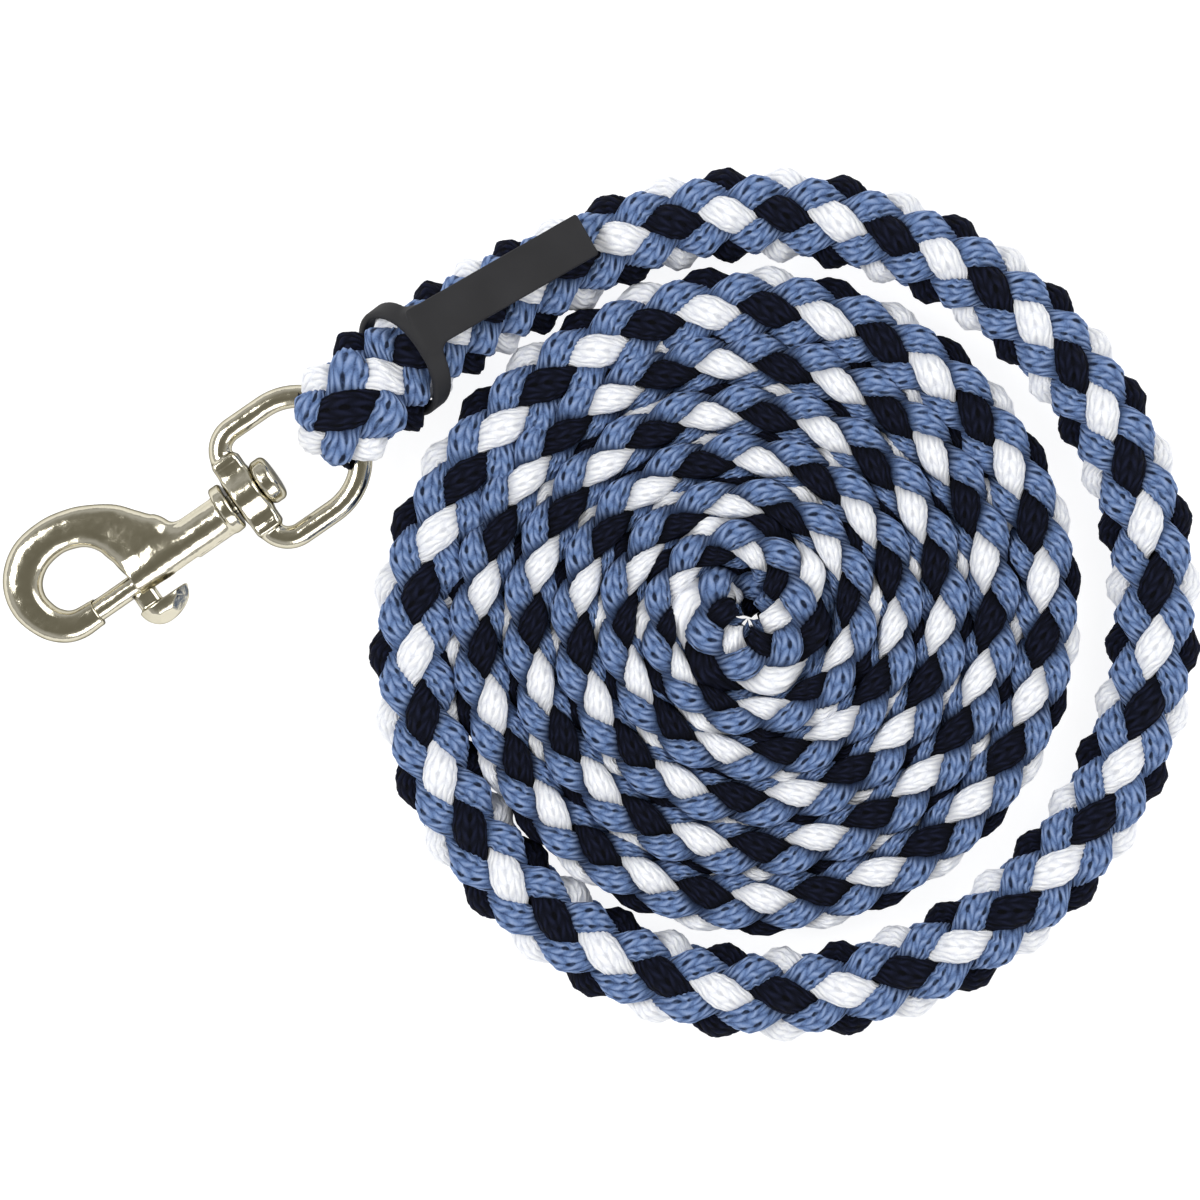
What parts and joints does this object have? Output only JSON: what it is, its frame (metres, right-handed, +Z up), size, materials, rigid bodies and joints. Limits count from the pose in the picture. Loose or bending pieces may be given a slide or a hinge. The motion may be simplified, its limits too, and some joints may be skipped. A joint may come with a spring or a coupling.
{
  "type": "lead rope with swivel bolt snap",
  "caption": "Braided rope coiled flat, its spliced end loop carrying a swivel bolt snap with a spring-loaded thumb bolt and a rubber tag.",
  "frame": {"origin": "centre of the coil, on the surface that the rope lies on", "axes": "+X runs along the snap from its hook towards its swivel eye, which is also the way the rope leads on into the coil; +Z is up, away from the surface; the snap lies on the +Y side of the coil"},
  "size_m": [0.226, 0.1955, 0.0252],
  "materials": {
    "rope_blue": "light blue knitted polypropylene cord, braided",
    "rope_navy": "navy knitted polypropylene cord, braided",
    "rope_white": "white knitted polypropylene cord, braided",
    "tag_rubber": "soft moulded rubber, matte charcoal",
    "nickel": "nickel plated zinc die casting, polished over a slightly uneven cast surface",
    "spring_steel": "drawn steel wire"
  },
  "bodies": {
    "rope": {"rope_coil": "rope_blue", "rope_lead": "rope_navy", "splice_tail": "rope_blue", "rope_loop": "rope_white", "rubber_tag": "tag_rubber"},
    "eye": {"swivel_eye": "nickel"},
    "snap": {"snap_body": "nickel", "swivel_stem": "nickel", "bolt_spring": "spring_steel"},
    "bolt": {"snap_bolt": "nickel", "thumb_knob": "nickel"}
  },
  "joints": [
    {"name": "eye_swing", "type": "hinge", "parent": "rope", "child": "eye", "pos_m": [-0.0468, 0.0821, 0.0099], "axis": [0, 1, 0], "range_deg": [0, 90]},
    {"name": "swivel", "type": "hinge", "parent": "eye", "child": "snap", "pos_m": [-0.0468, 0.0821, 0.0099], "axis": [0.9968, 0, 0.0802], "continuous": true},
    {"name": "bolt_slide", "type": "slide", "parent": "snap", "child": "bolt", "axis": [0.9968, 0, 0.0802], "range_m": [0, 0.0114], "stiffness_N_per_m": 250, "springref_m": -0.006, "deforming": ["bolt_spring"]}
  ]
}
